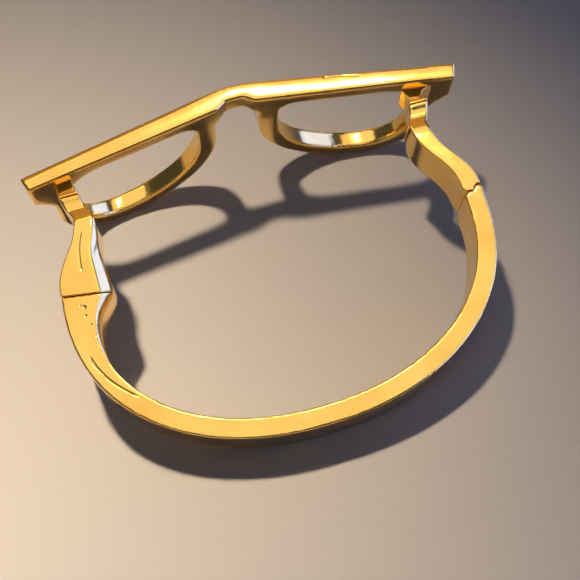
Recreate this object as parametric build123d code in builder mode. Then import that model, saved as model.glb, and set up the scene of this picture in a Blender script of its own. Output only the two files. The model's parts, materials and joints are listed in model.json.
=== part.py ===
"""Hinged bangle in the shape of a pair of spectacles, lying as it rests on a table.

The rims and the back of the band touch the table, so the flat top of the whole bangle leans.
Everything is drawn on that leaning top: x to the right, y towards the spectacle front, z up.
"""
from build123d import *
import os
from math import atan2, copysign, cos, hypot, radians, sin

# Spectacle front
front_width = 70.0
front_height = 28.2
end_front_y = 49.2          # front corner of an end piece, measured from the back of the band
front_sweep = 0.182         # how far each half falls back for each millimetre outwards
back_sweep = 0.155
brow_depth = 2.4            # back face beside the bridge, ahead of the end pieces' corners
crest_radius = 21.0         # rounding of the front face over the bridge
end_lean = 0.8              # the end face slopes in by this much towards the back
bridge_half = 1.4
bridge_bevel = 1.6
bridge_step = 1.1           # the bridge is thinner than the rims by this much
bridge_drop = 3.9           # depth of the bridge below the top

# Lens openings and rims
lens_inner = 6.8            # nose side of a lens opening, from the middle
lens_top = 3.0
lens_radii = [3.0, 5.5, 7.4, 14.0]      # nose top, outer top, outer bottom, nose bottom
rim = 3.2                   # width of the rim at the sides
rim_bottom = 3.1
end_length = 3.4            # the end pieces stand out this far past the rims
end_height = 6.3
end_root = 10.2             # height of an end piece where it leaves the rim
end_taper = 0.25            # the end face leans in by this much towards its lower corner
end_corner = 0.8
end_fillet = 4.5
arch_radius = 2.4
brow_edge = 0.25            # softened top corner of an end piece

# Band
band_height = 10.0
band_wall = 3.05
half_width = 33.05          # outside of the band, from its own middle
band_depth = 25.5           # from the back of the band to its widest place
squareness = 2.15           # 2 would be an ellipse
band_offset = -0.5          # the band sits this far to the clasp side of the front's middle
shoulder_y = 3.0            # the clasp's thick wall starts to thin here, measured from its seam
shoulder_step = 1.45
flare_y = 5.6               # and has nearly thinned to the plain wall here
flare_step = 1.1
belly = 2.0                 # how far the clasp's inner wall swells at half height
belly_length = 9.0          # half of the swelling's length
belly_margin = 0.08         # plain strip above and below the swelling

# Temples
seam_rise = 2.9             # from the band's widest place to its seams
seam_gap = 0.15
clasp_width = 6.1           # thickness of both pieces at the clasp
clasp_inset = 0.25          # the clasp's outer face lies this far inside the band's widest place
clasp_slope = 0.9           # the clasp seam climbs by this much from inside to outside
clasp_straight = 4.9        # the temple keeps the clasp's thickness for this length
lug_back = 4.6              # end of a lug, behind the end pieces' front corners
lug_inset = 8.8             # inner side of a lug, in from the end pieces' ends
lug_length = 3.3            # from the temple's end to the lug's end
lug_width = 3.1
lug_shift = 0.25            # the lug leans outwards by this much
lug_top = 0.5
lug_height = 6.0
lip = 0.45                  # thickness of the raised lip at a lug's end
temple_inset = 0.9          # inner side of the temple's end, inside that of the lug
temple_thickness = 3.0
temple_drop = 9.2           # height of the temple near the lug
heel_back = 4.2             # the temple's bottom edge rounds up to its lug here, from the lug's end
groove_back = 2.5
groove_length = 1.2
groove_depth = 0.45

# Hinge blocks behind the end pieces
block_top = 1.3
block_height = 5.6
block_inset = 0.7           # inner side of a block, outside that of its lug
block_width = 2.7
neck_width = 2.1
neck_straight = 0.25
block_flare = 3.4

# Hinge
pin_radius = 0.35
pin_running_gap = 0.05
knuckle_radius = 0.75
knuckle_gap = 0.12
knuckle_split = 0.06
knuckle_inset = 0.6         # pin axis inside the band's outer face
ear_height = 1.2            # round ears of the band cover the knuckles at the top and the bottom
middle_knuckle = 3.6        # length of the band's knuckle
seam_chamfer = 0.6
seam_nick = 0.35            # notch at the outside of the hinge seam

# Clasp
magnet_radius = 2.0
magnet_thickness = 1.5
magnet_depth = 6.4          # below the top
peg_radius = 0.75
peg_clearance = 0.2
peg_reach = 1.6
peg_seat = 3.0
peg_depth = 2.4

# What follows from the sizes above
half_front = front_width / 2
outer_side = half_front - end_length
lens_width = outer_side - rim - lens_inner
lens_height = front_height - lens_top - rim_bottom
back_y = end_front_y + brow_depth
seam_y = band_depth + seam_rise
lug_end = end_front_y - lug_back
lug_inner = half_front - lug_inset
temple_end = lug_end - lug_length
temple_inner = lug_inner - temple_inset
heel_y = lug_end - heel_back
groove_y = lug_end - groove_back

# The resting position
rim_low_u = outer_side - rim - lens_radii[2]
rim_back_y = back_y - back_sweep * (rim_low_u - bridge_half - bridge_bevel)
rest_tilt = atan2(front_height - band_height, rim_back_y)
corner_radius = lens_radii[3] + rim
corner_u = lens_inner - rim + corner_radius
corner_z = front_height - corner_radius
# The furthest point of a rim is where its lower nose corner faces straight ahead.
corner_y = end_front_y + front_sweep * (half_front - corner_u)
footprint = (
    cos(rest_tilt) * corner_y
    + sin(rest_tilt) * corner_z
    + corner_radius * hypot(front_sweep * cos(rest_tilt), sin(rest_tilt))
)
TOP = Plane(
    origin=(0, -footprint / 2, band_height * cos(rest_tilt)),
    x_dir=(1, 0, 0),
    z_dir=(0, -sin(rest_tilt), cos(rest_tilt)),
)
RING = Plane(origin=TOP.from_local_coords((band_offset, 0, 0)), x_dir=TOP.x_dir, z_dir=TOP.z_dir)
# Looking at the lenses from behind the wearer's head: x to the right, y up.
ELEVATION = Plane(origin=TOP.origin, x_dir=TOP.x_dir, z_dir=-TOP.y_dir)
# Looking along the temples' sides: x towards the front, y up.
SIDE = Plane(origin=RING.origin, x_dir=RING.y_dir, z_dir=RING.x_dir)
os.makedirs("parts", exist_ok=True)


def ring_point(x, y, z=0.0):
    """A point given from the middle of the band's back, as a point in space."""
    return RING.from_local_coords((x, y, z))


def bow(half, depth, angle):
    """A point on the band's flattened half ellipse, from the hinge side (0) round to the clasp."""
    across = copysign(half * abs(cos(angle)) ** (2 / squareness), cos(angle))
    return (across, band_depth - depth * sin(angle) ** (2 / squareness))


def back_face(x):
    """Back of the spectacle front at x from its middle."""
    return back_y - back_sweep * (abs(x) - bridge_half - bridge_bevel)


# Spectacle front: one swept-back plate, pierced by two lens openings
crest_y = end_front_y + front_sweep * half_front
with BuildPart() as front_frame:
    with BuildSketch(TOP.offset(rim)) as plan:
        with BuildLine():
            Polyline(
                (0, crest_y),
                (half_front, end_front_y),
                (half_front - end_lean, back_face(half_front - end_lean)),
                (bridge_half + bridge_bevel, back_y),
                (bridge_half, back_y + bridge_step),
                (0, back_y + bridge_step),
            )
            mirror(about=Plane.YZ)
        make_face()
        fillet(plan.vertices().sort_by(Axis.Y)[-1], crest_radius)
    extrude(amount=-front_height - 2 * rim)
    with BuildSketch(ELEVATION):
        with BuildLine():
            FilletPolyline(
                (0, 0),
                (half_front, 0),
                (half_front - end_taper, -end_height),
                (outer_side, -end_root),
                (outer_side, -front_height),
                (lens_inner - rim, -front_height),
                (lens_inner - rim, -bridge_drop),
                (0, -bridge_drop),
                radius=[brow_edge, end_corner, end_fillet, lens_radii[2] + rim, corner_radius, arch_radius],
            )
            mirror(about=Plane.YZ)
        make_face()
    extrude(amount=2 * crest_y, both=True, mode=Mode.INTERSECT)
    with BuildSketch(ELEVATION):
        with BuildLine():
            FilletPolyline(
                (lens_inner, -lens_top),
                (lens_inner + lens_width, -lens_top),
                (lens_inner + lens_width, -lens_top - lens_height),
                (lens_inner, -lens_top - lens_height),
                radius=lens_radii,
                close=True,
            )
        make_face()
        mirror(about=Plane.YZ)
    extrude(amount=2 * crest_y, both=True, mode=Mode.SUBTRACT)
front_frame.part.label = "front_frame"
export_step(front_frame.part, "parts/front_frame.step")


# Hinge blocks: dummy spectacle hinges that carry the temples, with a raised lip at the joint
def hinge_block(name, side, width, flare):
    """side is 1 for the hinge side and -1 for the clasp side; flare widens its root outwards."""
    inner = lug_inner + block_inset
    outer = inner + width
    lip_y = lug_end + lip
    root = [back_face(side * x + band_offset) for x in (inner, outer + flare)]
    with BuildPart() as block:
        with BuildSketch(RING.offset(-block_top)):
            with BuildLine():
                Line((side * inner, root[0]), (side * inner, lip_y))
                Line((side * inner, lip_y), (side * outer, lip_y))
                if flare:
                    Line((side * outer, lip_y), (side * outer, lip_y + neck_straight))
                    Spline(
                        (side * outer, lip_y + neck_straight),
                        (side * (outer + flare), root[1]),
                        tangents=[(0, 1), (side, back_sweep)],
                    )
                else:
                    Line((side * outer, lip_y), (side * outer, root[1]))
                Line((side * (outer + flare), root[1]), (side * inner, root[0]))
            make_face()
        extrude(amount=-block_height)
        with BuildSketch(RING.offset(-lug_top)):
            with Locations((side * (lug_inner + lug_shift + lug_width / 2), lug_end + lip / 2)):
                Rectangle(lug_width, lip)
        extrude(amount=-lug_height)
    block.part.label = name
    export_step(block.part, f"parts/{name}.step")


hinge_block("left_hinge_block", -1, block_width, 0)
hinge_block("right_hinge_block", 1, neck_width, block_flare)


def side_profile():
    """Side view of a temple: flat top, a groove before the lug, and a rounded heel."""
    lug_bottom = -lug_top - lug_height
    heel_radius = temple_drop + lug_bottom
    heel_bend = heel_radius * (1 - cos(radians(45)))
    with BuildSketch(SIDE) as profile:
        with BuildLine():
            Polyline(
                (heel_y, lug_bottom),
                (lug_end, lug_bottom),
                (lug_end, -lug_top),
                (groove_y + groove_length, -lug_top),
                (groove_y, -lug_top - groove_depth),
                (temple_end, 0),
                (seam_y - clasp_width, 0),
                (seam_y - clasp_width, -band_height),
                (seam_y, -band_height),
                (heel_y - heel_radius, -temple_drop),
            )
            ThreePointArc(
                (heel_y - heel_radius, -temple_drop),
                (heel_y - heel_bend, -temple_drop + heel_bend),
                (heel_y, lug_bottom),
            )
        make_face()
    return profile.sketch


def lug_corners(side):
    """Plan of the lug, from the temple's inner edge round to its outer edge."""
    outer = lug_inner + lug_width
    return [
        (side * temple_inner, temple_end),
        (side * lug_inner, groove_y + groove_length),
        (side * (lug_inner + lug_shift), lug_end),
        (side * (outer + lug_shift), lug_end),
        (side * (outer - lug_shift), groove_y + groove_length / 2),
        (side * (temple_inner + temple_thickness), temple_end),
    ]


def swelling(start, end, turn):
    """The clasp's rounded inner wall: a lying cylinder that sinks into the wall at its far end."""
    along = Vector(*end) - Vector(*start)
    inward = Vector(along.Y, -along.X).normalized() * turn
    middle = Vector(0, 0, -band_height / 2)
    foot = RING.from_local_coords(Vector(*start) + inward * (belly - belly_radius) + middle)
    far = RING.from_local_coords(Vector(*end) - inward * belly_radius + middle)
    root = clasp_width / 4
    rise = root * clasp_slope / (clasp_inner_x - clasp_outer_x)
    with BuildPart() as swell:
        with BuildSketch(Plane(origin=foot, z_dir=far - foot)):
            Circle(belly_radius)
        extrude(amount=along.length, both=True)
        with BuildSketch(RING):
            with BuildLine():
                Polyline(
                    (start[0] - root, start[1] + rise),
                    start,
                    (start[0] + clasp_width, start[1]),
                    (end[0] + clasp_width, end[1]),
                    (end[0] - root, end[1]),
                    close=True,
                )
            make_face()
        extrude(amount=-band_height, mode=Mode.INTERSECT)
    return swell.part


def round_stretch(top, length, radius):
    """A round pocket or ear along the pin axis, from a depth below the top."""
    with BuildPart() as stretch:
        with BuildSketch(RING.offset(-top)):
            with Locations((hinge_x, seam_y)):
                Circle(radius)
        extrude(amount=-length)
    return stretch.part


def seam_disc(face_y, direction):
    """The magnet's pocket, square to the clasp's seam face."""
    square = Vector(clasp_slope, clasp_inner_x - clasp_outer_x, 0).normalized() * direction
    face = ring_point(clasp_mid_x, face_y, -magnet_depth)
    with BuildPart() as disc:
        with BuildSketch(Plane(origin=face, z_dir=ring_point(*square) - ring_point(0, 0))):
            Circle(magnet_radius)
        extrude(amount=magnet_thickness)
    return disc.part


def peg_rod(from_y, to_y, radius):
    """A round rod that points straight back out of the clasp's face."""
    with BuildPart() as rod:
        with BuildSketch(Plane(origin=ring_point(clasp_mid_x, from_y, -peg_depth), z_dir=-RING.y_dir)):
            Circle(radius)
        extrude(amount=from_y - to_y)
    return rod.part


# The clasp's two seam faces, and the hinge's pin axis
clasp_inner_x = clasp_width - half_width
clasp_outer_x = clasp_inset - half_width
clasp_mid_x = (clasp_inner_x + clasp_outer_x) / 2
hinge_x = half_width - knuckle_inset
inside_x = half_width - band_wall
upper_seam = seam_y + seam_gap / 2
lower_seam = seam_y - seam_gap / 2
temple_face_y = upper_seam + clasp_slope / 2
band_face_y = lower_seam + clasp_slope / 2
belly_radius = ((band_height / 2 - belly_margin) ** 2 + belly**2) / (2 * belly)
end_knuckle = (band_height - middle_knuckle) / 2 - ear_height
covered = ear_height + knuckle_split

# Clasp-side temple
temple_swell = swelling((clasp_inner_x, upper_seam), (clasp_inner_x, seam_y + belly_length), 1)
temple_pocket = seam_disc(temple_face_y, 1)
temple_socket = peg_rod(temple_face_y + peg_seat, band_face_y, peg_radius)
with BuildPart() as clasp_temple:
    with BuildSketch(RING):
        with BuildLine():
            Line((clasp_outer_x, upper_seam + clasp_slope), (clasp_inner_x, upper_seam))
            Spline(
                (clasp_inner_x, upper_seam),
                (clasp_inner_x, seam_y + clasp_straight),
                (-temple_inner, temple_end),
                tangents=[(0, 1), (0, 1)],
            )
            Polyline(*lug_corners(-1))
            Spline(
                (-temple_inner - temple_thickness, temple_end),
                (clasp_outer_x, upper_seam + clasp_slope),
                tangents=[(0, -1), (0, -1)],
            )
        make_face()
    extrude(amount=-band_height)
    add(temple_swell)
    extrude(side_profile(), amount=2 * half_width, both=True, mode=Mode.INTERSECT)
    add(temple_pocket, mode=Mode.SUBTRACT)
    add(temple_socket, mode=Mode.SUBTRACT)
clasp_temple.part.label = "clasp_temple"
export_step(clasp_temple.part, "parts/clasp_temple.step")

# Hinge-side temple, grooved for the knuckles
knuckle_seat = round_stretch(0, band_height, knuckle_radius)
middle_top = ear_height + end_knuckle
temple_reliefs = [
    round_stretch(top, length, knuckle_radius + knuckle_gap)
    for top, length in (
        (0, covered),
        (middle_top - knuckle_split, middle_knuckle + 2 * knuckle_split),
        (band_height - covered, covered),
    )
]
with BuildPart() as hinge_temple:
    with BuildSketch(RING):
        with BuildLine():
            Polyline(
                (half_width, upper_seam + seam_nick),
                (half_width - seam_nick, upper_seam),
                (inside_x + seam_chamfer, upper_seam),
                (inside_x, upper_seam + seam_chamfer),
            )
            Spline(
                (inside_x, upper_seam + seam_chamfer),
                (temple_inner, temple_end),
                tangents=[(0, 1), (0, 1)],
            )
            Polyline(*lug_corners(1))
            Spline(
                (temple_inner + temple_thickness, temple_end),
                (half_width, upper_seam + seam_nick),
                tangents=[(0, -1), (0, -1)],
            )
        make_face()
    extrude(amount=-band_height)
    extrude(side_profile(), amount=2 * half_width, both=True, mode=Mode.INTERSECT)
    add(knuckle_seat, mode=Mode.SUBTRACT)
    add(temple_reliefs, mode=Mode.SUBTRACT)
hinge_temple.part.label = "hinge_temple"
export_step(hinge_temple.part, "parts/hinge_temple.step")

# Rear band: one bow of even wall that thickens to the clasp
flare_foot = (-inside_x + flare_step, seam_y - flare_y)
band_swell = swelling((clasp_inner_x, lower_seam), flare_foot, -1)
band_pocket = seam_disc(band_face_y, -1)
band_socket = peg_rod(temple_face_y, band_face_y - peg_reach - peg_clearance, peg_radius + peg_clearance)
middle_seat = round_stretch(middle_top, middle_knuckle, knuckle_radius)
end_reliefs = [
    round_stretch(top, end_knuckle, knuckle_radius + knuckle_gap)
    for top in (ear_height, middle_top + middle_knuckle)
]
ears = [
    round_stretch(top, ear_height, knuckle_radius)
    for top in (0, band_height - ear_height)
]
with BuildPart() as rear_band:
    with BuildSketch(RING):
        with BuildLine():
            outer = Spline(*[bow(half_width, band_depth, radians(a)) for a in range(0, 181, 15)])
            Polyline(
                outer @ 1,
                (clasp_outer_x, lower_seam + clasp_slope),
                (clasp_inner_x, lower_seam),
            )
            Spline(
                (clasp_inner_x, lower_seam),
                (clasp_inner_x - shoulder_step, seam_y - shoulder_y),
                flare_foot,
                *[bow(inside_x, band_depth - band_wall, radians(a)) for a in range(165, -1, -15)],
            )
            Polyline(
                (inside_x, band_depth),
                (inside_x, lower_seam - seam_chamfer),
                (inside_x + seam_chamfer, lower_seam),
                (half_width - seam_nick, lower_seam),
                (half_width, lower_seam - seam_nick),
                outer @ 0,
            )
        make_face()
    extrude(amount=-band_height)
    add(band_swell)
    add(ears)
    add(middle_seat, mode=Mode.SUBTRACT)
    add(end_reliefs, mode=Mode.SUBTRACT)
    add(band_pocket, mode=Mode.SUBTRACT)
    add(band_socket, mode=Mode.SUBTRACT)
rear_band.part.label = "rear_band"
export_step(rear_band.part, "parts/rear_band.step")


# Hinge: tube knuckles soldered into the grooves, and the pin through them
def knuckles(name, spans, bore):
    """Tubes round the pin axis; spans are (depth of the top end, length)."""
    with BuildPart() as tubes:
        for top, length in spans:
            with BuildSketch(RING.offset(-top)):
                with Locations((hinge_x, seam_y)):
                    Circle(knuckle_radius)
                    Circle(bore, mode=Mode.SUBTRACT)
            extrude(amount=-length)
    tubes.part.label = name
    export_step(tubes.part, f"parts/{name}.step")


tube_length = end_knuckle - 2 * knuckle_split
knuckles(
    "temple_knuckles",
    [(covered, tube_length), (band_height - covered - tube_length, tube_length)],
    pin_radius,
)
knuckles("band_knuckle", [(middle_top, middle_knuckle)], pin_radius + pin_running_gap)

with BuildPart() as hinge_pin:
    with BuildSketch(RING.offset(-covered)):
        with Locations((hinge_x, seam_y)):
            Circle(pin_radius)
    extrude(amount=2 * covered - band_height)
hinge_pin.part.label = "hinge_pin"
export_step(hinge_pin.part, "parts/hinge_pin.step")

# Clasp: a disc magnet in each face, and a steel peg that lines them up
for name, disc in (("temple_magnet", temple_pocket), ("band_magnet", band_pocket)):
    disc.label = name
    export_step(disc, f"parts/{name}.step")

with BuildPart() as locating_peg:
    add(peg_rod(temple_face_y + peg_seat, band_face_y - peg_reach, peg_radius))
    tip = locating_peg.edges().filter_by(GeomType.CIRCLE).sort_by(Axis.Y)[0]
    chamfer(tip, peg_clearance)
locating_peg.part.label = "locating_peg"
export_step(locating_peg.part, "parts/locating_peg.step")
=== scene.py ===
"""Spectacle-shaped hinged bangle in gold-plated cast brass, shaped round its CAD frame.

Pieces are drawn flat in millimetres, x to the right, y towards the spectacle front and z up from
the bangle's flat top, and are then laid in their leaning place in metres.
"""
import json
from math import acos, ceil, copysign, cos, exp, pi, radians, sin, tan

import bpy
import numpy as np
from bpy.props import FloatProperty, FloatVectorProperty, PointerProperty
from mathutils import Matrix, Vector


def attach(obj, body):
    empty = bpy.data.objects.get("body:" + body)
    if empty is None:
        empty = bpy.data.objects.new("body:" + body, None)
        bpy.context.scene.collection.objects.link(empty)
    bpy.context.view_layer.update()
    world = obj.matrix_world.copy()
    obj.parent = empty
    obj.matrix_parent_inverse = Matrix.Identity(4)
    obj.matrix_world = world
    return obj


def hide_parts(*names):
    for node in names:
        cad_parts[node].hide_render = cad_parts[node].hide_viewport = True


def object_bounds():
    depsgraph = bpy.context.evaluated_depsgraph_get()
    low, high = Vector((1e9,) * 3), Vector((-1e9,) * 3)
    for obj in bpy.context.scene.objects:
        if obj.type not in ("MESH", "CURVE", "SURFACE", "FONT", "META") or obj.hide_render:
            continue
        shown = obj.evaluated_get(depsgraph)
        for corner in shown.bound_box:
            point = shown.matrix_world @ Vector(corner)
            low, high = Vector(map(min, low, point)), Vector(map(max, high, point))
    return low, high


bl_info = {
    "name": "Spectacle Bangle",
    "version": (1, 0, 0),
    "blender": (4, 5, 0),
    "location": "View3D > Sidebar > Bangle",
    "description": "Models a hinged bangle in the shape of spectacles",
    "category": "Add Mesh",
}

MM = 0.001
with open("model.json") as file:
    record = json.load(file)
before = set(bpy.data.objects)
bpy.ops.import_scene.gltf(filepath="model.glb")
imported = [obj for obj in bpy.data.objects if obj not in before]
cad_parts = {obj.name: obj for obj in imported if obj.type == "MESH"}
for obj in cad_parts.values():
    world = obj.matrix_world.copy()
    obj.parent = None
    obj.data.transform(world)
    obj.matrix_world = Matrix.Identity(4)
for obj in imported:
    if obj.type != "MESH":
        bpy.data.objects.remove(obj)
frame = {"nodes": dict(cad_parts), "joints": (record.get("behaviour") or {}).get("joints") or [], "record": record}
CAD_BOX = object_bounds()

# The hinge's axis stands square to the bangle's flat top, and the mount lies on that top.
HINGE = frame["joints"][0]
MOUNT = frame["record"]["mounts"][0]
UP = Vector(HINGE["axis"])
ACROSS = Vector((1, 0, 0))
AHEAD = UP.cross(ACROSS)


def measured(name):
    """Lowest and highest corners of a CAD node in the bangle's own axes, in millimetres."""
    points = np.array([LIE_DOWN.inverted() @ v.co for v in frame["nodes"][name].data.vertices])
    return Vector(points.min(0)), Vector(points.max(0))


def lying(origin):
    """The matrix that lays a piece drawn flat in millimetres in its leaning place in metres."""
    axes = Matrix((ACROSS, AHEAD, UP)).transposed().to_4x4()
    return Matrix.Translation(origin) @ axes @ Matrix.Scale(MM, 4)


LIE_DOWN = lying(Vector((0, *MOUNT["pos_m"][1:])))
BAND_BACK = measured("rear_band")[0].y
LIE_DOWN = lying(LIE_DOWN @ Vector((0, BAND_BACK, 0)))
FRONT_LOW, FRONT_HIGH = measured("front_frame")
BAND_LOW, BAND_HIGH = measured("rear_band")
LUG_END = measured("hinge_temple")[1].y
PIN_LOW, PIN_HIGH = measured("hinge_pin")

# The sizes and places below are in millimetres, in the bangle's own axes.
BRIDGE_HALF = 3.0  # half the straight back of the bridge
CORNER_IN = 0.25  # an end piece's lower corner, inside its upper one
LENS_TOP_NOSE = 3.0  # radii of a lens opening's corners
LENS_TOP_OUTER = 5.5
LENS_LOW_OUTER = 7.4
LENS_LOW_NOSE = 14.0
RIM_FOOT = 3.1  # thickness of a rim at its lowest place
PAST = 5  # how far a cutting solid stands out past what it cuts
CROWN_DEEP = 2.5  # the crown fades out at this depth
CROWN_REACH = 1.6  # and this far behind the front edge
CLASP_IN = 0.25  # the clasp's outer corner, inside the band's outer side
PIN_COVER = 0.6  # from the pin's axis to the band's outer side
EAR = 0.72  # radius of the band's ear over the knuckles
BAND_RELIEF = 0.87  # radii of the room left round the knuckles
TEMPLE_RELIEF = 0.82
MAGNET_ROOM = 0.08  # clearance round a magnet, and round the peg
PEG_ROOM = 0.2
POCKET = 2.4  # depth of the tool that drills a pocket
LUG_IN = 0.9  # a lug's inner side, outside the temple's
BLOCK_IN = 0.7  # a block's inner side, outside the lug's
LIP_IN = 0.25  # the lip's inner side, outside the lug's
FLARE = 3.4  # how far the right-hand block flares out at its root
HEEL = 4.2  # from the lug's end back to the temple's heel
FINE_GRAIN = 0.12  # mesh size of the temples and blocks
FRONT_GRAIN = 0.93  # share of the common grain that the front is melted on
FRONT_LAPS = (
    ((14.1, 52.4), (16.9, 52.0), (19.9, 51.1)),
    ((-15.3, 53.0), (-13.8, 53.3), (-12.4, 53.8)),
)
BAND_LAP = ((-31.0, 19.8), (-29.1, 15.4), (-25.2, 11.4))
TEMPLE_LAP = ((-28.8, 32.2), (-28.4, 35.7), (-27.3, 38.6))
# Pits near the clasp: x, y, radius and depth. Each row is marked in one pass.
BAND_PITS = (
    ((-29.8, 26.9, 0.25, 0.14), (-30.3, 27.3, 0.12, 0.08), (-29.9, 25.6, 0.16, 0.1)),
    ((-29.4, 24.1, 0.1, 0.08), (-29.2, 22.2, 0.08, 0.06)),
)
LOOK_AT = (-0.31, 20.98, 0)

# Lights that the metal mirrors: place from the bangle's middle and size in metres, watts, tint.
MIRRORED = {
    "overhead": ((0.02, -0.05, 0.42), (0.5, 0.5), 0.65, "#FFF6E6"),
    "strip": ((-0.1, 0.17, 0.4), (0.35, 0.018), 0.06, "#FFF1D6"),
    "warm_wall": ((-0.1, 0.45, 0.42), (0.7, 0.5), 0.42, "#FFC25E"),
    "back_card": ((0.25, 0.5, 0.12), (0.6, 0.25), 0.3, "#FFE9C8"),
    "first_bulb": ((0.05, 0.045, 0.4), (0.02, 0.02), 0.09, "#FFE7C0"),
    "second_bulb": ((0.09, 0.025, 0.4), (0.02, 0.02), 0.09, "#FFE7C0"),
}
PANE = ((0.22, 0.4), 1.1, "#7790FF")
PANE_AWAY = 0.46
PANE_HEIGHT = 0.2
PANE_TURNS = (16, -14, -44)
KEY = ((-0.06, 0.09, 0.5), (0.03, 0.03), 0.2, "#FFE6C4")
KEY_POINTS = (-0.03, -0.11, -0.5)
KEY_SPREAD = radians(38)
SKY = "#8A93A6"
SKY_STRENGTH = 0.3


def length(name, description, millimetres):
    """A length property whose default is given in millimetres."""
    return FloatProperty(
        name=name, description=description, default=millimetres * MM, unit="LENGTH", precision=5
    )


def share(name, description, value):
    """A plain number property."""
    return FloatProperty(name=name, description=description, default=value)


def angle(name, description, degrees):
    """An angle property whose default is given in degrees."""
    return FloatProperty(
        name=name, description=description, default=radians(degrees), subtype="ANGLE"
    )


def colour(name, description, code):
    """A colour property whose default is an sRGB hex value."""
    return FloatVectorProperty(
        name=name, description=description, subtype="COLOR", size=3, default=linear(code)
    )


def linear(code):
    """sRGB hex to linear red, green and blue."""
    parts = [int(code[i : i + 2], 16) / 255 for i in (1, 3, 5)]
    return tuple(c / 12.92 if c <= 0.04045 else ((c + 0.055) / 1.055) ** 2.4 for c in parts)


class FrontSizes(bpy.types.PropertyGroup):
    """Sizes of the spectacle front."""

    sweep: share("Sweep", "How far the front falls back outwards", 0.182)
    back_sweep: share("Back sweep", "The same for the back face", 0.155)
    depth: length("Brow depth", "Back face at the bridge, ahead of the end corners", 2.4)
    crest: length("Crest radius", "Rounding of the front over the bridge", 21)
    bridge_drop: length("Bridge drop", "Depth of the bridge", 3.9)
    lens_inner: length("Lens inner side", "Nose side of a lens opening", 6.8)
    lens_top: length("Lens top", "Top of a lens opening", 3.0)
    rim: length("Rim", "Width of a rim", 3.2)
    end_length: length("End pieces", "How far the end pieces stand out past the rims", 3.4)
    end_height: length("End height", "Height of an end piece", 6.3)
    crown: length("Crown", "How far hand polishing rounds the brow's front edge", 0.3)


class BandSizes(bpy.types.PropertyGroup):
    """Sizes of the rear band and of the clasp."""

    wall: length("Wall", "Thickness of the band", 3.05)
    widest: length("Widest place", "From the back of the band to its widest place", 25.5)
    offset: length("Offset", "The band's middle, to the clasp side of the front's middle", 0.5)
    squareness: share("Squareness", "2 is an ellipse", 2.15)
    clasp: length("Clasp", "Thickness at the clasp", 5.85)
    flare: length("Flare", "Over this length the thickening fades", 4.9)
    belly: length("Belly", "How far the clasp's inner wall swells", 1.85)
    belly_ahead: length("Belly ahead", "Length of the swelling along the temple", 13)
    belly_behind: length("Belly behind", "Length of the swelling along the band", 10.5)
    shoulder: share("Shoulder", "Height of the swelling's bevel to its width", 0.92)
    seam_rise: length("Seam rise", "From the widest place to the seams", 2.9)
    seam_gap: length("Seam gap", "Gap at the closed seams", 0.05)
    clasp_slope: length("Clasp slope", "How far the clasp's seam climbs outwards", 0.9)
    chamfer: length("Hinge chamfer", "Bevel inside the hinge seam", 0.6)
    nick: length("Hinge nick", "Notch outside the hinge seam", 0.35)


class TempleSizes(bpy.types.PropertyGroup):
    """Sizes of the temples and of the blocks that carry them."""

    inner: length("Inner side", "Inner side of a temple's end", 25.3)
    thickness: length("Thickness", "Thickness of a temple's end", 3.0)
    drop: length("Drop", "Height of a temple near its lug", 9.2)
    lug_length: length("Lug length", "From the temple's end to the lug's end", 3.3)
    lug_top: length("Lug top", "Depth of the lug below the flat top", 0.5)
    lug_height: length("Lug height", "Height of a lug", 6.0)
    lug_width: length("Lug width", "Width of a lug", 3.1)
    groove: length("Groove", "Depth of the groove before the lug", 0.55)
    block_top: length("Block top", "Depth of a hinge block below the flat top", 1.3)
    block_slope: share("Block slope", "Fall of a hinge block's top", 0.28)
    block_height: length("Block height", "Height of a hinge block", 5.6)
    block_width: length("Block width", "Width of a hinge block", 2.7)
    neck_width: length("Neck width", "Width of the flared block's neck", 2.1)
    lip: length("Lip", "Thickness of the raised lip at the joint", 0.45)


class FinishSettings(bpy.types.PropertyGroup):
    """Colours and polish of the metals."""

    gold: colour("Gold", "Plating where it is thick", "#FCE38E")
    deep_gold: colour("Deep gold", "Plating where it is worn warm", "#F0B452")
    pit: colour("Pit", "Casting pits with old polish in them", "#8F6124")
    steel: colour("Steel", "Pin and peg", "#B4B5B7")
    nickel: colour("Nickel", "Plating of the magnets", "#CFCBC2")
    grain: length("Grain", "Size of the mesh that the edges are melted on", 0.185)
    ripple: length("Ripple", "Height of the waves that hand polishing leaves", 0.05)
    ripple_length: length("Ripple length", "Length of those waves", 4.5)


class StageSettings(bpy.types.PropertyGroup):
    """Floor, lights and camera."""

    floor: colour("Floor", "Plain pale floor", "#B9B8B9")
    focal_length: share("Focal length", "Camera lens in millimetres", 77.6)
    distance: length("Distance", "From the camera to the bangle's middle", 186.3)
    azimuth: angle("Azimuth", "Turn of the camera round the bangle", -8.9)
    elevation: angle("Elevation", "Camera's height as an angle", 55.5)
    roll: angle("Roll", "Camera's turn about its own line", -8.26)


def rounded(corners, step=radians(5)):
    """A closed outline from corners (x, y, radius), each rounded by an arc of its radius."""
    points = []
    for i, (x, y, radius) in enumerate(corners):
        here = Vector((x, y))
        if not radius:
            points.append(here)
            continue
        back = (Vector(corners[i - 1][:2]) - here).normalized()
        ahead = (Vector(corners[(i + 1) % len(corners)][:2]) - here).normalized()
        half = acos(max(-1.0, min(1.0, back.dot(ahead)))) / 2
        centre = here + (back + ahead).normalized() * radius / sin(half)
        arm = here + back * radius / tan(half) - centre
        turn = copysign(pi - 2 * half, -back.cross(ahead))
        count = max(2, ceil(abs(turn) / step))
        for k in range(count + 1):
            points.append(centre + Matrix.Rotation(turn * k / count, 2) @ arm)
    return points


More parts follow.
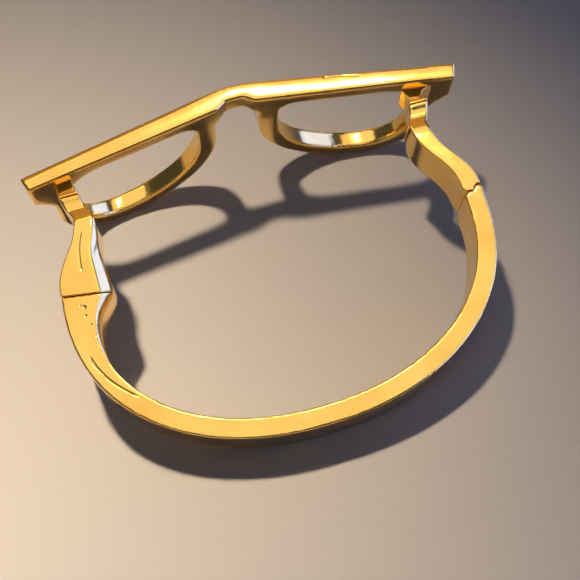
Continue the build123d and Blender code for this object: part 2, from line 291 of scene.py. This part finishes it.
def bend(start, end, reach=0.45, count=24):
    """An S from start to end that leaves and arrives straight along y."""
    rise = (end[1] - start[1]) * reach
    start, end, rise = Vector(start), Vector(end), Vector((0, rise))
    handles = [start, start + rise, end - rise, end]
    points = []
    for k in range(count + 1):
        t = k / count
        weights = [(1 - t) ** 3, 3 * t * (1 - t) ** 2, 3 * t * t * (1 - t), t**3]
        points.append(sum((h * w for h, w in zip(handles, weights)), Vector((0, 0))))
    return points


def raised(name, outline, low, high, stand=None):
    """A flat outline drawn as a many-sided disc and extruded; stand turns it upright."""
    bpy.ops.object.select_all(action="DESELECT")
    bpy.ops.mesh.primitive_circle_add(vertices=len(outline), fill_type="NGON", radius=1)
    solid = bpy.context.object
    solid.name = name
    for vertex, (x, y) in zip(solid.data.vertices, outline):
        vertex.co = (x, y, low)
    bpy.ops.object.mode_set(mode="EDIT")
    bpy.ops.mesh.select_all(action="SELECT")
    bpy.ops.mesh.extrude_region_move(TRANSFORM_OT_translate={"value": (0, 0, high - low)})
    bpy.ops.object.mode_set(mode="OBJECT")
    if stand:
        solid.data.transform(stand)
    outward(solid)
    return solid


def outward(solid):
    """Recalculates a closed shell's normals."""
    bpy.ops.object.mode_set(mode="EDIT")
    bpy.ops.mesh.select_all(action="SELECT")
    bpy.ops.mesh.normals_make_consistent(inside=False)
    bpy.ops.object.mode_set(mode="OBJECT")


# Drawn across and up, then stood on the front; or drawn ahead and up, then stood along a temple.
FACE_ON = Matrix(((1, 0, 0, 0), (0, 0, 1, 0), (0, 1, 0, 0), (0, 0, 0, 1)))
SIDE_ON = Matrix(((0, 0, 1, 0), (1, 0, 0, 0), (0, 1, 0, 0), (0, 0, 0, 1)))


def only(piece):
    """Makes one piece selected and active."""
    bpy.ops.object.select_all(action="DESELECT")
    piece.select_set(True)
    bpy.context.view_layer.objects.active = piece


def modify(piece, kind, **settings):
    """Adds a modifier and applies it."""
    only(piece)
    modifier = piece.modifiers.new(kind.lower(), kind)
    for key, value in settings.items():
        setattr(modifier, key, value)
    bpy.ops.object.modifier_apply(modifier=modifier.name)


def cut(piece, tool, operation):
    """Cuts, keeps or joins one solid with another, which is used up."""
    modify(piece, "BOOLEAN", operation=operation, object=tool, solver="EXACT")
    bpy.data.objects.remove(tool)


def melt(piece, grain, rounds=16):
    """Melts the edges round, as casting and polishing do."""
    modify(piece, "REMESH", mode="VOXEL", voxel_size=grain, use_smooth_shade=True)
    modify(piece, "SMOOTH", factor=0.5, iterations=rounds)


def ripple(piece, height, wave):
    """The shallow waves that hand polishing leaves in a cast surface."""
    waves = bpy.data.textures.new(f"{piece.name}_waves", "CLOUDS")
    waves.noise_scale = wave
    waves.noise_depth = 1
    modify(
        piece, "DISPLACE", texture=waves, strength=height, mid_level=0.55, texture_coords="LOCAL"
    )
    bpy.data.textures.remove(waves)


def top_points(piece, faces=False):
    """Centres of a piece's faces or points, with a flag for those that lie on its flat top."""
    items = piece.data.polygons if faces else piece.data.vertices
    points = np.empty(len(items) * 3)
    items.foreach_get("center" if faces else "co", points)
    points = points.reshape(-1, 3)
    return points, points[:, 2] > -1


def refine(piece, near, cuts=2):
    """Divides the faces of the flat top that near picks, to hold a finer mark."""
    points, top = top_points(piece, faces=True)
    only(piece)
    bpy.ops.object.mode_set(mode="EDIT")
    bpy.ops.mesh.select_mode(type="FACE")
    bpy.ops.mesh.select_all(action="DESELECT")
    bpy.ops.object.mode_set(mode="OBJECT")
    piece.data.polygons.foreach_set("select", top & near(points))
    bpy.ops.object.mode_set(mode="EDIT")
    bpy.ops.mesh.subdivide(number_cuts=cuts)
    bpy.ops.mesh.select_mode(type="VERT")
    bpy.ops.object.mode_set(mode="OBJECT")


def crease(piece, path, depth=0.1, width=0.09):
    """A hairline lap left in the flat top along three points, steep on its right side."""
    start, middle, end = (Vector(p) for p in path)
    bow = middle * 2 - (start + end) / 2
    steps = np.linspace(0, 1, 60)
    line = np.array([start * (1 - t) ** 2 + bow * 2 * t * (1 - t) + end * t * t for t in steps])
    forward = np.gradient(line, axis=0)

    def gaps(points):
        away = points[:, None, :2] - line[None, :, :]
        distance = np.hypot(away[:, :, 0], away[:, :, 1])
        nearest = distance.argmin(1)
        each = np.arange(len(points))
        arm = away[each, nearest]
        side = forward[nearest, 0] * arm[:, 1] - forward[nearest, 1] * arm[:, 0]
        return distance[each, nearest], nearest, side

    def beside(points):
        flat = points[:, :2]
        box = (flat > line.min(0) - 1).all(1) & (flat < line.max(0) + 1).all(1)
        box[box] = gaps(points[box])[0] < 6 * width
        return box

    refine(piece, beside)
    points, top = top_points(piece)
    for index in np.flatnonzero(top & beside(points)):
        distance, nearest, side = gaps(points[index : index + 1])
        fade = min(1.0, 3 * sin(pi * (nearest[0] + 0.5) / len(line)))
        reach = width if side[0] < 0 else 2.5 * width
        piece.data.vertices[index].co.z -= depth * fade * exp(-((distance[0] / reach) ** 2))


def dent(piece, spots):
    """Casting pits left open in the flat top, each given as x, y, radius and depth."""
    for x, y, radius, depth in spots:

        def inside(points):
            return np.hypot(points[:, 0] - x, points[:, 1] - y) < 2.5 * radius

        refine(piece, inside)
        points, top = top_points(piece)
        for index in np.flatnonzero(top & inside(points)):
            away = np.hypot(points[index, 0] - x, points[index, 1] - y) / radius
            piece.data.vertices[index].co.z -= depth * exp(-(away**4))


def drill(piece, centre, along, radius, depth):
    """A round pocket in a finished piece."""
    bpy.ops.object.select_all(action="DESELECT")
    turn = along.to_track_quat("Z", "Y").to_euler()
    bpy.ops.mesh.primitive_cylinder_add(
        vertices=64, radius=radius, depth=depth, location=centre, rotation=turn
    )
    cut(piece, bpy.context.object, "DIFFERENCE")


def place(piece, body, nodes, offset=0.0):
    """Lays a finished piece in its place, and lets it stand for its CAD nodes."""
    piece.data.transform(LIE_DOWN @ Matrix.Translation((offset, 0, 0)))
    piece.data.materials.clear()
    piece.data.materials.append(bpy.data.materials["gold_plated_brass"])
    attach(piece, body)
    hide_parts(*nodes)
    return piece


def half_outline(front):
    """Right half of the front seen face on, from the brow's middle round to the bridge."""
    half = FRONT_HIGH.x
    bottom = FRONT_LOW.z
    outer = half - front.end_length / MM
    nose = (front.lens_inner - front.rim) / MM
    end = front.end_height / MM
    rim = front.rim / MM
    return [
        (half, 0, 0.25),
        (half - CORNER_IN, -end, 0.8),
        (outer, -end - 3.9, 4.5),
        (outer, bottom, LENS_LOW_OUTER + rim),
        (nose, bottom, LENS_LOW_NOSE + rim),
        (nose, -front.bridge_drop / MM, 2.4),
    ]


class BANGLE_OT_front(bpy.types.Operator):
    """Models the spectacle front with its two open rims"""

    bl_idname = "bangle.front"
    bl_label = "Spectacle front"

    def execute(self, context):
        front = context.scene.bangle_front
        finish = context.scene.bangle_finish
        half = FRONT_HIGH.x
        right = half_outline(front)
        left = [(-x, y, r) for x, y, r in reversed(right)]
        face = rounded(right + left)
        end_y = FRONT_HIGH.y - self.crest_rise(front)
        back = end_y + front.depth / MM

        def back_face(x):
            return back - front.back_sweep * (x - BRIDGE_HALF)

        plan_right = [
            (half, end_y, 0),
            (half - 0.8, back_face(half - 0.8), 0),
            (BRIDGE_HALF, back, 0.5),
            (1.4, back + 1.1, 0.6),
        ]
        plan_left = [(-x, y, r) for x, y, r in reversed(plan_right)]
        crest_y = end_y + front.sweep * half
        crest = (0, crest_y, front.crest / MM)
        plan = rounded(plan_right + plan_left + [crest], step=radians(1.5))
        span = (end_y - 20, crest_y + PAST)
        piece = raised("spectacle_front", face, *span, FACE_ON)
        cut(piece, raised("plan", plan, FRONT_LOW.z - PAST, PAST), "INTERSECT")
        inner = front.lens_inner / MM
        outer = half - (front.end_length + front.rim) / MM
        top = -front.lens_top / MM
        bottom = FRONT_LOW.z + RIM_FOOT
        for side in (1, -1):
            opening = rounded(
                [
                    (side * inner, top, LENS_TOP_NOSE),
                    (side * outer, top, LENS_TOP_OUTER),
                    (side * outer, bottom, LENS_LOW_OUTER),
                    (side * inner, bottom, LENS_LOW_NOSE),
                ]
            )
            cut(piece, raised("opening", opening, *span, FACE_ON), "DIFFERENCE")
        melt(piece, finish.grain / MM * FRONT_GRAIN, 27)
        self.crown_brow(piece, front, end_y)
        ripple(piece, finish.ripple / MM, finish.ripple_length / MM)
        for lap in FRONT_LAPS:
            crease(piece, lap)
        place(piece, "front", ["front_frame"])
        return {"FINISHED"}

    def crest_rise(self, front):
        """How far the rounded crest stands ahead of the end pieces' front corners."""
        slope = front.sweep
        sharp = slope * FRONT_HIGH.x
        rounding = front.crest / MM * ((1 + slope**2) ** 0.5 - 1)
        return sharp - rounding

    def crown_brow(self, piece, front, end_y):
        """Rounds the top down towards the front edge, more on the clasp side."""
        half = FRONT_HIGH.x
        for vertex in piece.data.vertices:
            across, along, high = vertex.co
            if high < -CROWN_DEEP:
                continue
            edge = end_y + front.sweep * (half - abs(across))
            ahead = 1 - min(1.0, max(0.0, (edge - along) / CROWN_REACH))
            side = 0.35 + 0.65 * min(1.0, max(0.0, (2 - across) / 12))
            fade = (high + CROWN_DEEP) / CROWN_DEEP
            vertex.co.z -= front.crown / MM * ahead**2 * side * fade


def half_width(band):
    """From the band's middle to its outer side, which the pin's place sets."""
    return (PIN_LOW.x + PIN_HIGH.x) / 2 + band.offset / MM + PIN_COVER


def swell(piece, band, seam):
    """Swells the inner wall at the clasp, with a bevelled shoulder under the flat top."""
    inner = BAND_LOW.x + (band.offset + band.clasp) / MM + CLASP_IN
    for vertex in piece.data.vertices:
        across, along, high = vertex.co
        reach = (band.belly_ahead if along > seam else band.belly_behind) / MM
        if across > 0 or abs(along - seam) > reach:
            continue
        inward = min(1.0, max(0.0, (across - inner + 3.5) / 3.5))
        width = band.belly / MM * cos(pi / 2 * (along - seam) / reach)
        down = min(1.0, max(0.0, -high / (width * band.shoulder + 0.01)))
        below = min(0.0, high - BAND_LOW.z / 2) / (BAND_LOW.z / 2)
        vertex.co.x += inward * width * (1 - (1 - down) ** 1.4 - 0.3 * below**2)


def around_pin(band, radius):
    """A circle round the hinge pin's axis, in the band's own place."""
    centre = Vector(((PIN_LOW.x + PIN_HIGH.x) / 2 + band.offset / MM, (PIN_LOW.y + PIN_HIGH.y) / 2))
    return [centre + Matrix.Rotation(pi * k / 16, 2) @ Vector((radius, 0)) for k in range(32)]


def clasp_pockets(piece, band, magnet):
    """The magnet's pocket in a clasp face, and the peg's socket in the band's face."""
    square = Vector((band.clasp_slope, band.clasp, 0)).normalized()
    shift = Vector((band.offset / MM, 0, 0))
    low, high = measured(magnet)
    radius = (high.z - low.z) / 2 + MAGNET_ROOM
    drill(piece, (low + high) / 2 + shift, square, radius, POCKET)
    if magnet == "band_magnet":
        low, high = measured("locating_peg")
        radius = (high.z - low.z) / 2 + PEG_ROOM
        middle = (low + high) / 2 + shift
        middle.y = low.y + 1.0
        drill(piece, middle, Vector((0, 1, 0)), radius, POCKET)


class BANGLE_OT_band(bpy.types.Operator):
    """Models the rear band, thickened towards its clasp"""

    bl_idname = "bangle.band"
    bl_label = "Rear band"

    def execute(self, context):
        band = context.scene.bangle_band
        finish = context.scene.bangle_finish
        wall = band.wall / MM
        widest = band.widest / MM
        half = half_width(band)
        seam = widest + (band.seam_rise - band.seam_gap / 2) / MM
        power = 2 / band.squareness
        nick = band.nick / MM
        chamfer = band.chamfer / MM

        def bow(reach, depth, angle):
            across = copysign(reach * abs(cos(angle)) ** power, cos(angle))
            return Vector((across, widest - depth * sin(angle) ** power))

        clasp_inner = CLASP_IN + band.clasp / MM - half
        turns = [pi * k / 120 for k in range(121)]
        outside = [bow(half, widest, a) for a in turns]
        inside = []
        for point in (bow(half - wall, widest - wall, a) for a in reversed(turns)):
            if point.x < 0:
                point.x += (clasp_inner + half - wall) * exp((point.y - seam) * MM / band.flare)
            inside.append(point)
        ends = [
            (0.08 - half, widest + 1.6),
            (CLASP_IN - half, seam + band.clasp_slope / MM),
            (clasp_inner, seam),
        ]
        hinge_end = [
            (half - wall, seam - chamfer),
            (half - wall + chamfer, seam),
            (half - nick, seam),
            (half, seam - nick),
        ]
        outline = outside + [Vector(p) for p in ends] + inside + [Vector(p) for p in hinge_end]
        piece = raised("band", outline, BAND_LOW.z, 0)
        cut(piece, raised("ear", around_pin(band, EAR), BAND_LOW.z, 0), "UNION")
        relief = raised("relief", around_pin(band, BAND_RELIEF), PIN_LOW.z, PIN_HIGH.z)
        cut(piece, relief, "DIFFERENCE")
        melt(piece, finish.grain / MM)
        swell(piece, band, seam)
        ripple(piece, finish.ripple / MM, finish.ripple_length / MM)
        crease(piece, BAND_LAP)
        for pits in BAND_PITS:
            dent(piece, pits)
        clasp_pockets(piece, band, "band_magnet")
        place(piece, "band", ["rear_band"], -band.offset / MM)
        return {"FINISHED"}


class BANGLE_OT_temples(bpy.types.Operator):
    """Models both temples with their lugs"""

    bl_idname = "bangle.temples"
    bl_label = "Temples"

    def execute(self, context):
        band = context.scene.bangle_band
        temple = context.scene.bangle_temples
        finish = context.scene.bangle_finish
        half = half_width(band)
        wall = band.wall / MM
        seam = (band.widest + band.seam_rise + band.seam_gap / 2) / MM
        end = LUG_END - temple.lug_length / MM
        inner = temple.inner / MM
        outer = inner + temple.thickness / MM
        lug_inner = inner + LUG_IN
        lug_outer = lug_inner + temple.lug_width / MM
        lug = [
            (lug_inner, LUG_END - 1.3),
            (lug_inner + 0.25, LUG_END),
            (lug_outer + 0.25, LUG_END),
            (lug_outer - 0.25, LUG_END - 1.9),
        ]
        lug = [Vector(p) for p in lug]
        clasp_inner = half - CLASP_IN - band.clasp / MM
        clasp = bend((clasp_inner, seam + 4.9), (inner, end)) + lug
        clasp += reversed(bend((half - CLASP_IN, seam + band.clasp_slope / MM), (outer, end)))
        clasp.append(Vector((clasp_inner, seam)))
        hinge = [
            (half, seam + band.nick / MM),
            (half - band.nick / MM, seam),
            (half - wall + band.chamfer / MM, seam),
            (half - wall, seam + band.chamfer / MM),
        ]
        hinge = [Vector(p) for p in hinge]
        hinge += bend((half - wall, seam + band.chamfer / MM), (inner, end))[1:] + lug
        hinge += list(reversed(bend((half, seam + band.nick / MM), (outer, end))))[:-1]
        clasp = [Vector((-p.x, p.y)) for p in clasp]
        clasp_piece = raised("clasp_side_temple", clasp, BAND_LOW.z - 1, 1)
        hinge_piece = raised("hinge_side_temple", hinge, BAND_LOW.z - 1, 1)
        relief = raised("relief", around_pin(band, TEMPLE_RELIEF), BAND_LOW.z - 2, 2)
        cut(hinge_piece, relief, "DIFFERENCE")
        for piece, node in ((clasp_piece, "clasp_temple"), (hinge_piece, "hinge_temple")):
            side_view = self.profile(band, temple, end)
            profile = raised("profile", side_view, -half - PAST, half + PAST, SIDE_ON)
            cut(piece, profile, "INTERSECT")
            melt(piece, FINE_GRAIN, 24)
            if node == "clasp_temple":
                swell(piece, band, seam)
            ripple(piece, finish.ripple / MM, finish.ripple_length / MM)
            if node == "clasp_temple":
                crease(piece, TEMPLE_LAP)
                clasp_pockets(piece, band, "temple_magnet")
            place(piece, "front", [node], -band.offset / MM)
        return {"FINISHED"}

    def profile(self, band, temple, end):
        """Side view of a temple: flat top, a groove before the lug, and a rounded heel."""
        seam = (band.widest + band.seam_rise) / MM
        top = -temple.lug_top / MM
        bottom = top - temple.lug_height / MM
        drop = -temple.drop / MM
        heel = LUG_END - HEEL
        radius = bottom - drop
        side_view = [
            (LUG_END + 1, bottom, 0),
            (LUG_END + 1, top, 0),
            (LUG_END - 0.3, top, 0.8),
            (LUG_END - 1.7, top - temple.groove / MM, 2.2),
            (end - 1.3, 0, 5.0),
            (seam - 6, 0, 0),
            (seam - 6, BAND_LOW.z, 0),
            (seam, BAND_LOW.z, 0),
            (heel + 0.2, drop, radius * 0.8),
            (heel + 0.4, bottom, 0.3),
        ]
        return rounded(side_view)


class BANGLE_OT_blocks(bpy.types.Operator):
    """Models the two hinge blocks with their raised lips"""

    bl_idname = "bangle.blocks"
    bl_label = "Hinge blocks"

    def execute(self, context):
        front = context.scene.bangle_front
        band = context.scene.bangle_band
        temple = context.scene.bangle_temples
        finish = context.scene.bangle_finish
        inner = (temple.inner / MM) + LUG_IN + BLOCK_IN
        back = LUG_END + 4.6 + front.depth / MM
        top = -temple.block_top / MM
        low = top - temple.block_height / MM
        lip_y = LUG_END + temple.lip / MM

        def root(x):
            return back - front.back_sweep * (x - BRIDGE_HALF) + 0.3

        plain = inner + temple.block_width / MM
        neck = inner + temple.neck_width / MM
        flare = neck + FLARE
        straight = [
            Vector((inner, root(inner))),
            Vector((inner, LUG_END)),
            Vector((plain, LUG_END)),
            Vector((plain, root(plain))),
        ]
        flared = [Vector((inner - 0.5, root(inner))), Vector((inner - 0.15, root(inner) - 1.2))]
        flared.append(Vector((inner, lip_y + 1.2)))
        flared += [Vector((inner, LUG_END)), Vector((neck, LUG_END)), Vector((neck, lip_y))]
        reach = root(flare) - lip_y
        for k in range(1, 13):
            turn = k / 12 * pi / 2
            out = FLARE * (1 - cos(turn)) ** 1.6
            flared.append(Vector((neck + out, lip_y + reach * sin(turn) ** 0.9)))
        blocks = (
            ("clasp_side_block", "left_hinge_block", -1, straight),
            ("hinge_side_block", "right_hinge_block", 1, flared),
        )
        for name, node, side, outline in blocks:
            piece = raised(name, [Vector((side * p.x, p.y)) for p in outline], low, top)
            for vertex in piece.data.vertices:
                if vertex.co.z > low:
                    vertex.co.z -= temple.block_slope * (vertex.co.y - LUG_END)
            lip_inner = temple.inner / MM + LUG_IN + LIP_IN
            lip_outer = lip_inner + temple.lug_width / MM
            lip = [
                Vector((side * lip_inner, LUG_END)),
                Vector((side * lip_outer, LUG_END)),
                Vector((side * lip_outer, lip_y)),
                Vector((side * lip_inner, lip_y)),
            ]
            lip_top = -temple.lug_top / MM
            cut(piece, raised("lip", lip, lip_top - temple.lug_height / MM, lip_top), "UNION")
            melt(piece, FINE_GRAIN, 8)
            ripple(piece, finish.ripple / MM, finish.ripple_length / MM)
            place(piece, "front", [node], -band.offset / MM)
        return {"FINISHED"}


def add_node(tree, kind, settings=None, **inputs):
    """Adds a shader node, sets its settings, and gives each input a value or a link."""
    node = tree.nodes.new(kind)
    for key, value in (settings or {}).items():
        setattr(node, key, value)
    for key, value in inputs.items():
        numbered = key[0] == "n" and key[1:].isdigit()
        socket = node.inputs[int(key[1:]) if numbered else key.replace("_", " ")]
        if isinstance(value, bpy.types.NodeSocket):
            tree.links.new(value, socket)
        else:
            socket.default_value = value
    return node


def new_material(name, **fixed):
    """A principled material with its uniform values set; returns its tree and shader."""
    material = bpy.data.materials.new(name)
    material.use_nodes = True
    shader = material.node_tree.nodes["Principled BSDF"]
    for key, value in fixed.items():
        shader.inputs[key.replace("_", " ")].default_value = value
    return material.node_tree, shader


def mixed(tree, factor, first, second):
    """Mixes two colours or colour links, and returns the mixed colour's output."""
    mix = add_node(
        tree, "ShaderNodeMix", {"data_type": "RGBA"}, Factor=factor, n6=first, n7=second
    )
    return mix.outputs[2]


def noise(tree, place_on, millimetres, **inputs):
    """A noise pattern of that size, drawn in the piece's own place."""
    return add_node(
        tree, "ShaderNodeTexNoise", Vector=place_on, Scale=per_metre(millimetres), **inputs
    )


def opaque(tint, shade=1.0):
    """A colour with full alpha, darkened by shade."""
    return (*(shade * c for c in tint), 1)


def per_metre(millimetres):
    """Texture scale for a pattern of that size."""
    return 1 / (millimetres * MM)


def gold_plated_brass(finish):
    """Gold-plated cast brass: a warm mirror with faint haze, hairlines and a few pits."""
    tree, shader = new_material("gold_plated_brass", Metallic=1.0)
    place_on = add_node(tree, "ShaderNodeTexCoord").outputs["Object"]
    # Thin and thick plating drift over about a centimetre.
    drift = noise(tree, place_on, 9, Detail=3.0)
    tone = mixed(tree, drift.outputs["Fac"], opaque(finish.gold), opaque(finish.deep_gold))
    # Casting pits: a tenth of a millimetre or two, a few to the square centimetre.
    cells = add_node(
        tree, "ShaderNodeTexVoronoi", Vector=place_on, Scale=per_metre(2.6), Randomness=1.0
    )
    spread = noise(tree, place_on, 7, Detail=1.0)
    rare = add_node(
        tree, "ShaderNodeMapRange", None,
        Value=spread.outputs["Fac"], From_Min=0.55, From_Max=0.7, To_Min=0.0, To_Max=0.05,
    )
    pits = add_node(
        tree, "ShaderNodeMath", {"operation": "LESS_THAN"},
        n0=cells.outputs["Distance"], n1=rare.outputs[0],
    )
    skin = mixed(tree, pits.outputs[0], tone, opaque(finish.pit))
    tree.links.new(skin, shader.inputs["Base Color"])
    # Haze from handling makes the polish uneven.
    haze = noise(tree, place_on, 3, Detail=5.0, Roughness=0.6)
    polish = add_node(
        tree, "ShaderNodeMapRange", None,
        Value=haze.outputs["Fac"], From_Min=0.3, From_Max=0.75, To_Min=0.09, To_Max=0.2,
    )
    tree.links.new(polish.outputs[0], shader.inputs["Roughness"])
    # Hairlines run in one direction. Real ones are microns wide and are drawn coarser here.
    stretch = add_node(tree, "ShaderNodeMapping", Vector=place_on, Scale=(0.08, 1.0, 1.0))
    lines = noise(tree, stretch.outputs[0], 0.22, Detail=2.0)
    soft = noise(tree, place_on, 1.6, Detail=2.0)
    hairlines = add_node(
        tree, "ShaderNodeBump", None, Height=lines.outputs["Fac"], Strength=0.05, Distance=0.02 * MM
    )
    orange_peel = add_node(
        tree, "ShaderNodeBump", None,
        Height=soft.outputs["Fac"], Strength=0.15, Distance=0.05 * MM, Normal=hairlines.outputs[0],
    )
    sunk = add_node(
        tree, "ShaderNodeBump", {"invert": True},
        Height=pits.outputs[0], Strength=0.5, Distance=0.1 * MM, Normal=orange_peel.outputs[0],
    )
    tree.links.new(sunk.outputs[0], shader.inputs["Normal"])


def drawn_steel_wire(finish):
    """Drawn stainless wire: grey metal with fine lines from the drawing die."""
    tree, shader = new_material("drawn_steel_wire", Metallic=1.0)
    place_on = add_node(tree, "ShaderNodeTexCoord").outputs["Object"]
    lines = noise(tree, place_on, 0.2, Detail=3.0)
    tone = mixed(tree, lines.outputs["Fac"], opaque(finish.steel), opaque(finish.steel, 0.7))
    tree.links.new(tone, shader.inputs["Base Color"])
    wear = add_node(
        tree, "ShaderNodeMapRange", None, Value=lines.outputs["Fac"], To_Min=0.22, To_Max=0.4
    )
    tree.links.new(wear.outputs[0], shader.inputs["Roughness"])


def nickel_plated_magnet(finish):
    """Sintered magnet under bright nickel: a soft mirror with a faint sintered grain."""
    tree, shader = new_material("nickel_plated_magnet", Metallic=1.0)
    place_on = add_node(tree, "ShaderNodeTexCoord").outputs["Object"]
    grain = noise(tree, place_on, 0.3, Detail=4.0)
    tone = mixed(tree, grain.outputs["Fac"], opaque(finish.nickel), opaque(finish.nickel, 0.8))
    tree.links.new(tone, shader.inputs["Base Color"])
    sheen = add_node(
        tree, "ShaderNodeMapRange", None, Value=grain.outputs["Fac"], To_Min=0.15, To_Max=0.3
    )
    tree.links.new(sheen.outputs[0], shader.inputs["Roughness"])


class BANGLE_OT_metals(bpy.types.Operator):
    """Makes the three metals and gives them to the pieces that CAD already shows right"""

    bl_idname = "bangle.metals"
    bl_label = "Metals"

    def execute(self, context):
        finish = context.scene.bangle_finish
        gold_plated_brass(finish)
        drawn_steel_wire(finish)
        nickel_plated_magnet(finish)
        metals = {
            "gold_plated_brass": ["temple_knuckles", "band_knuckle"],
            "drawn_steel_wire": ["hinge_pin", "locating_peg"],
            "nickel_plated_magnet": ["temple_magnet", "band_magnet"],
        }
        for metal, names in metals.items():
            for name in names:
                node = frame["nodes"][name]
                node.data.materials.clear()
                node.data.materials.append(bpy.data.materials[metal])
        return {"FINISHED"}


class BANGLE_OT_stage(bpy.types.Operator):
    """Sets the floor, the lights and the camera"""

    bl_idname = "bangle.stage"
    bl_label = "Stage"

    def execute(self, context):
        stage = context.scene.bangle_stage
        bpy.ops.object.select_all(action="DESELECT")
        bpy.ops.mesh.primitive_plane_add(size=4.0, location=(0, 0, CAD_BOX[0].z))
        floor = context.object
        floor.name = "floor"
        tree, shader = new_material("matt_paper", Roughness=0.75)
        place_on = add_node(tree, "ShaderNodeTexCoord").outputs["Object"]
        fibre = noise(tree, place_on, 0.6, Detail=3.0)
        tone = mixed(tree, fibre.outputs["Fac"], opaque(stage.floor), opaque(stage.floor, 0.93))
        tree.links.new(tone, shader.inputs["Base Color"])
        floor.data.materials.append(bpy.data.materials["matt_paper"])
        world = bpy.data.worlds.new("studio")
        context.scene.world = world
        world.use_nodes = True
        background = world.node_tree.nodes["Background"]
        background.inputs["Color"].default_value = (*linear(SKY), 1)
        background.inputs["Strength"].default_value = SKY_STRENGTH
        aim = LIE_DOWN @ Vector((0, (BAND_LOW.y + FRONT_HIGH.y) / 2, 0))
        mirrored = [self.softbox(name, aim, *light) for name, light in MIRRORED.items()]
        # Three tall panes of cool daylight stand in a row on the hinge side.
        for turn in PANE_TURNS:
            across, ahead = cos(radians(turn)), sin(radians(turn))
            away = (PANE_AWAY * across, PANE_AWAY * ahead, PANE_HEIGHT)
            mirrored.append(self.softbox(f"pane_{turn}", aim, away, *PANE))
        # These are there for the metal to mirror: they don't light matt surfaces.
        for light in mirrored:
            light.visible_diffuse = False
        # The key lights the floor and casts the shadows, and the metal doesn't mirror it.
        key = self.softbox("key", aim, *KEY)
        key.data.spread = KEY_SPREAD
        key.rotation_euler = Vector(KEY_POINTS).to_track_quat("-Z", "Y").to_euler()
        key.visible_glossy = False
        self.camera(context, stage)
        return {"FINISHED"}

    def softbox(self, name, aim, away, size, power, tint):
        """A rectangular light that faces the bangle."""
        away = Vector(away)
        bpy.ops.object.light_add(type="AREA", location=aim + away)
        light = bpy.context.object
        light.name = name
        light.data.shape = "RECTANGLE"
        light.data.size, light.data.size_y = size
        light.data.energy = power
        light.data.color = linear(tint)
        light.rotation_euler = (-away).to_track_quat("-Z", "Y").to_euler()
        return light

    def camera(self, context, stage):
        """The camera looks at the middle of the ring's flat top."""
        aim = LIE_DOWN @ Vector(LOOK_AT)
        towards = Vector(
            (
                sin(stage.azimuth) * cos(stage.elevation),
                -cos(stage.azimuth) * cos(stage.elevation),
                sin(stage.elevation),
            )
        )
        bpy.ops.object.camera_add(location=aim + towards * stage.distance)
        camera = context.object
        camera.name = "camera"
        turn = (-towards).to_track_quat("-Z", "Y").to_matrix() @ Matrix.Rotation(stage.roll, 3, "Z")
        camera.rotation_euler = turn.to_euler()
        camera.data.sensor_width = 36
        camera.data.lens = stage.focal_length
        camera.data.clip_start = 0.005
        context.scene.camera = camera
        context.scene.view_settings.view_transform = "Standard"
        context.scene.view_settings.look = "Medium High Contrast"


class BANGLE_PT_sidebar(bpy.types.Panel):
    """Lists the pieces, their sizes and the stage"""

    bl_label = "Spectacle Bangle"
    bl_idname = "BANGLE_PT_sidebar"
    bl_space_type = "VIEW_3D"
    bl_region_type = "UI"
    bl_category = "Bangle"

    def draw(self, context):
        for group, operators in SIDEBAR.items():
            box = self.layout.box()
            settings = getattr(context.scene, group)
            for name in settings.bl_rna.properties.keys():
                if name not in ("rna_type", "name"):
                    box.prop(settings, name)
            for operator in operators:
                box.operator(operator)


SIDEBAR = {
    "bangle_finish": ["bangle.metals"],
    "bangle_front": ["bangle.front"],
    "bangle_band": ["bangle.band"],
    "bangle_temples": ["bangle.temples", "bangle.blocks"],
    "bangle_stage": ["bangle.stage"],
}
GROUPS = {
    "bangle_front": FrontSizes,
    "bangle_band": BandSizes,
    "bangle_temples": TempleSizes,
    "bangle_finish": FinishSettings,
    "bangle_stage": StageSettings,
}
OPERATORS = (
    BANGLE_OT_metals,
    BANGLE_OT_front,
    BANGLE_OT_band,
    BANGLE_OT_temples,
    BANGLE_OT_blocks,
    BANGLE_OT_stage,
)


def register():
    for group in GROUPS.values():
        bpy.utils.register_class(group)
    for operator in OPERATORS:
        bpy.utils.register_class(operator)
    bpy.utils.register_class(BANGLE_PT_sidebar)
    for name, group in GROUPS.items():
        setattr(bpy.types.Scene, name, PointerProperty(type=group))


def unregister():
    for name in GROUPS:
        delattr(bpy.types.Scene, name)
    for kind in (BANGLE_PT_sidebar, *reversed(OPERATORS), *reversed(GROUPS.values())):
        bpy.utils.unregister_class(kind)


def main():
    register()
    for operator in OPERATORS:
        group, name = operator.bl_idname.split(".")
        getattr(getattr(bpy.ops, group), name)()


if __name__ == "__main__":
    main()
